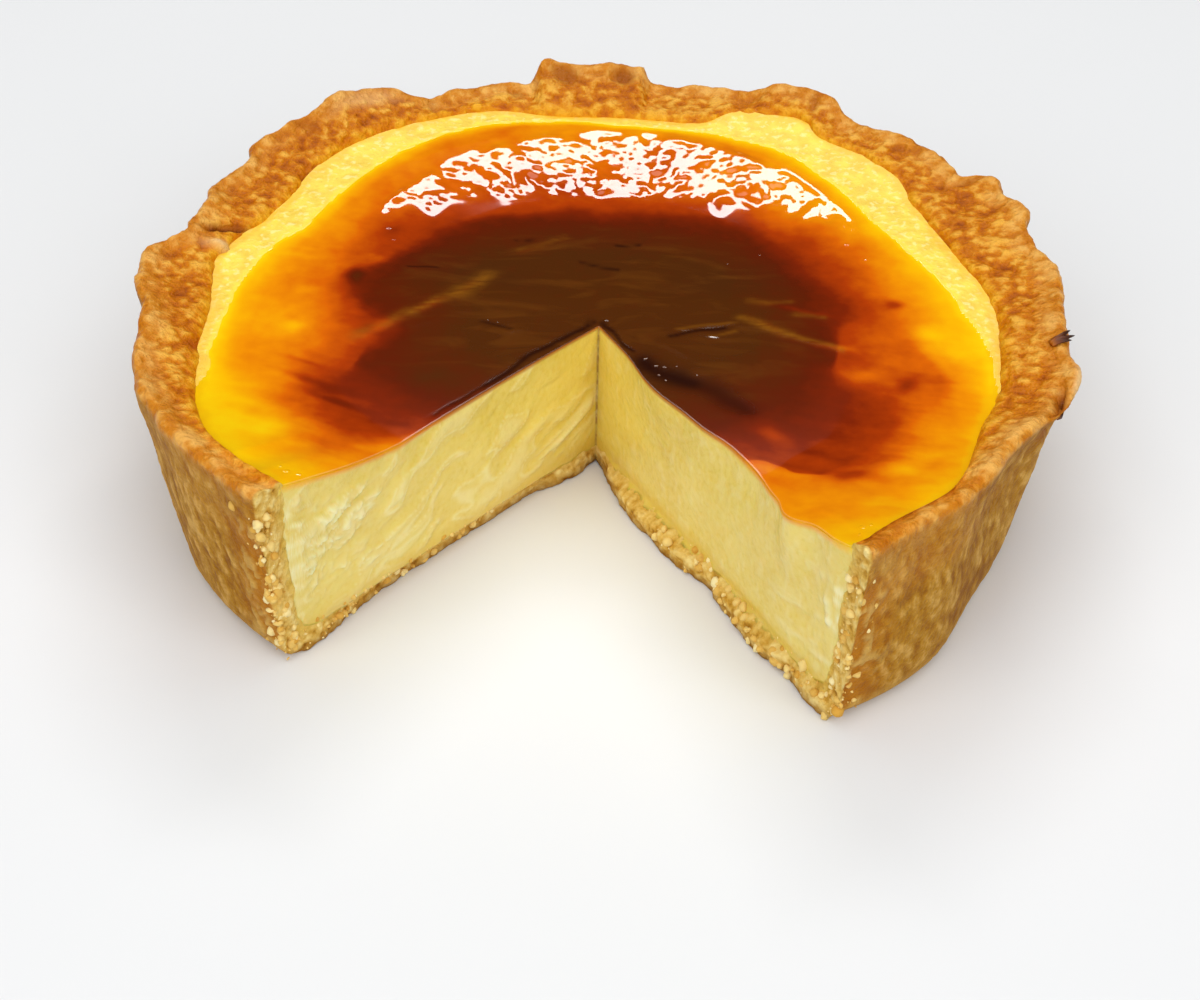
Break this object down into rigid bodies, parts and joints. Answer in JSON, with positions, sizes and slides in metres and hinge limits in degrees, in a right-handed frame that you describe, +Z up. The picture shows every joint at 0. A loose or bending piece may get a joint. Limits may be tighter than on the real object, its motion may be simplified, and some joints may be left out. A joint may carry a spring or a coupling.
{
  "type": "custard flan",
  "caption": "Round custard flan in a deep shortcrust pastry case with an uneven rim and a browned glazed top, with a slice cut out so that the filling shows.",
  "frame": {"origin": "middle of the case's flat underside, on the axis of the round case", "axes": "+Z up, -Y towards the missing slice"},
  "size_m": [0.2002, 0.1892, 0.0454],
  "materials": {
    "baked_crust": "baked shortcrust, golden brown, rough and pitted",
    "custard": "set egg custard, pale yellow, moist satin",
    "browned_skin": "glazed custard skin, yellow at the edge to dark brown in the middle, glossy"
  },
  "bodies": {
    "root": {"pastry_case": "baked_crust", "custard_filling": "custard"}
  },
  "joints": []
}
